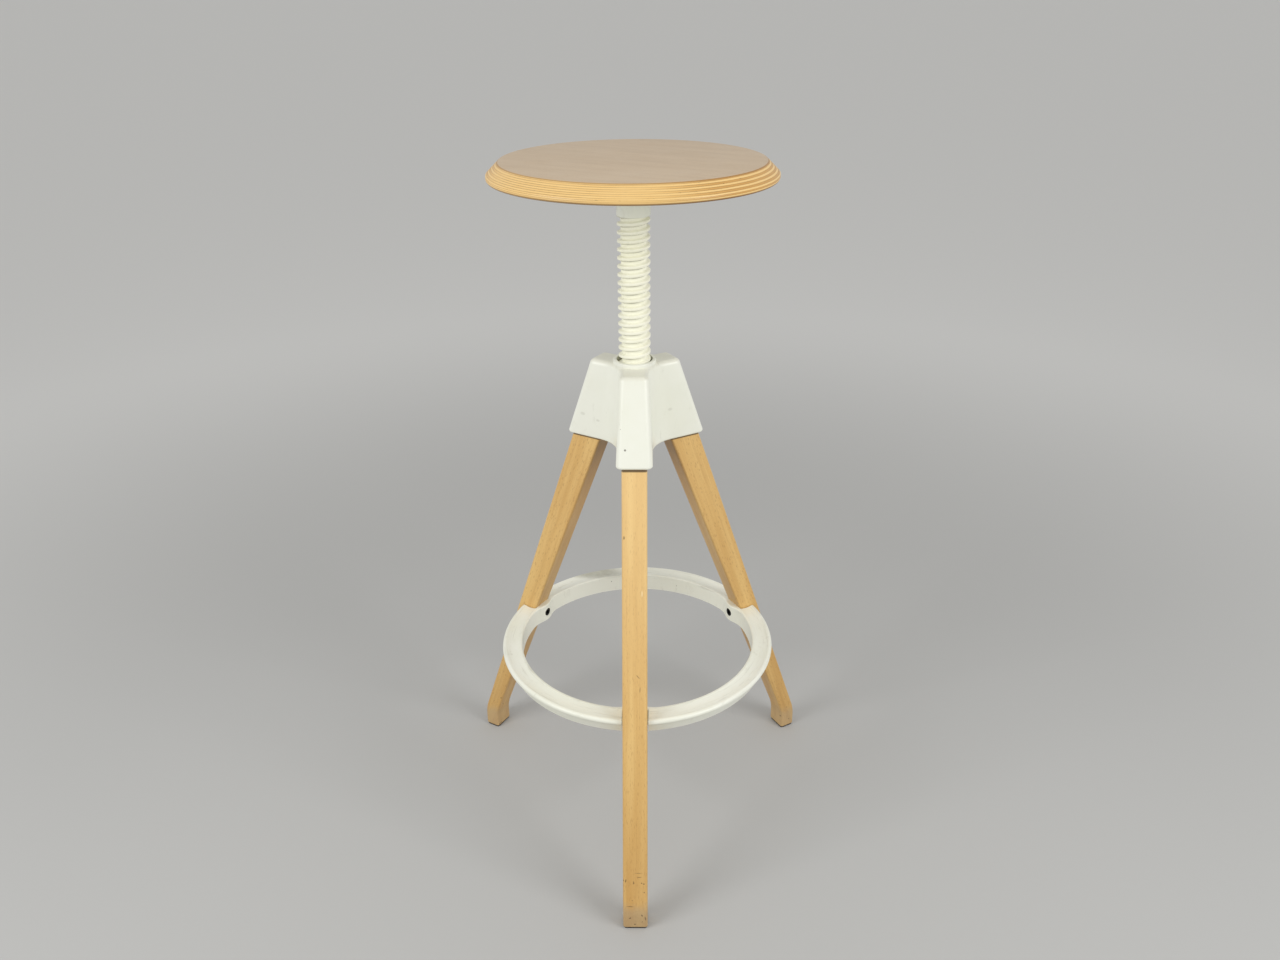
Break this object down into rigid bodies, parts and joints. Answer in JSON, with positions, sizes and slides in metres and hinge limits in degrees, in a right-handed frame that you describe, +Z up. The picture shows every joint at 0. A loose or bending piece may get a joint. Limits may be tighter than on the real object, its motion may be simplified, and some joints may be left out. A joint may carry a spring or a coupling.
{
  "type": "bar stool",
  "caption": "Tripod bar stool: a round bevelled plywood seat winds up and down on a coarse screw in a cast hub, with wooden legs and a cast foot ring",
  "frame": {"origin": "on the floor, under the middle of the seat, which is also the middle of the three feet", "axes": "+Z points up the screw's axis, the front leg stands towards -Y, and +X is to the right of someone who faces the front leg"},
  "size_m": [0.4444, 0.4185, 0.816],
  "materials": {
    "seat_plywood": "satin",
    "leg_beech": "satin",
    "cast_enamel": "satin",
    "post_enamel": "satin",
    "zinc_steel": "satin",
    "dark_steel": "satin",
    "bush_nylon": "matte",
    "insert_brass": "satin",
    "glide_plastic": "matte"
  },
  "bodies": {
    "frame": {"hub_casting": "cast_enamel", "thread_bush": "bush_nylon", "bush_lock_screws": "dark_steel", "foot_ring": "cast_enamel", "leg_front": "leg_beech", "leg_right": "leg_beech", "leg_left": "leg_beech", "leg_screw_front": "dark_steel", "leg_screw_right": "dark_steel", "leg_screw_left": "dark_steel", "leg_insert_front": "insert_brass", "leg_insert_right": "insert_brass", "leg_insert_left": "insert_brass", "ring_bolt_front": "dark_steel", "ring_bolt_right": "dark_steel", "ring_bolt_left": "dark_steel", "ring_insert_front": "insert_brass", "ring_insert_right": "insert_brass", "ring_insert_left": "insert_brass", "foot_glide_front": "glide_plastic", "foot_glide_right": "glide_plastic", "foot_glide_left": "glide_plastic"},
    "stop_carrier": {"stop_washer": "zinc_steel"},
    "seat_spindle": {"seat_board": "seat_plywood", "seat_plate": "cast_enamel", "seat_plate_screws": "zinc_steel", "screw_post": "post_enamel", "post_cross_pin": "zinc_steel", "post_end_plug": "zinc_steel", "stop_screw": "dark_steel"}
  },
  "joints": [
    {"name": "seat_lift", "type": "slide", "parent": "frame", "child": "stop_carrier", "axis": [0, 0, 1], "range_m": [-0.1562, 0.0192]},
    {"name": "seat_turn", "type": "hinge", "parent": "stop_carrier", "child": "seat_spindle", "pos_m": [0, 0, 0.6], "axis": [0, 0, 1], "range_deg": [-6240, 760]}
  ],
  "couplings": [
    {"joint": "seat_lift", "follows": "seat_turn", "m_per_rad": 0.0014324}
  ]
}
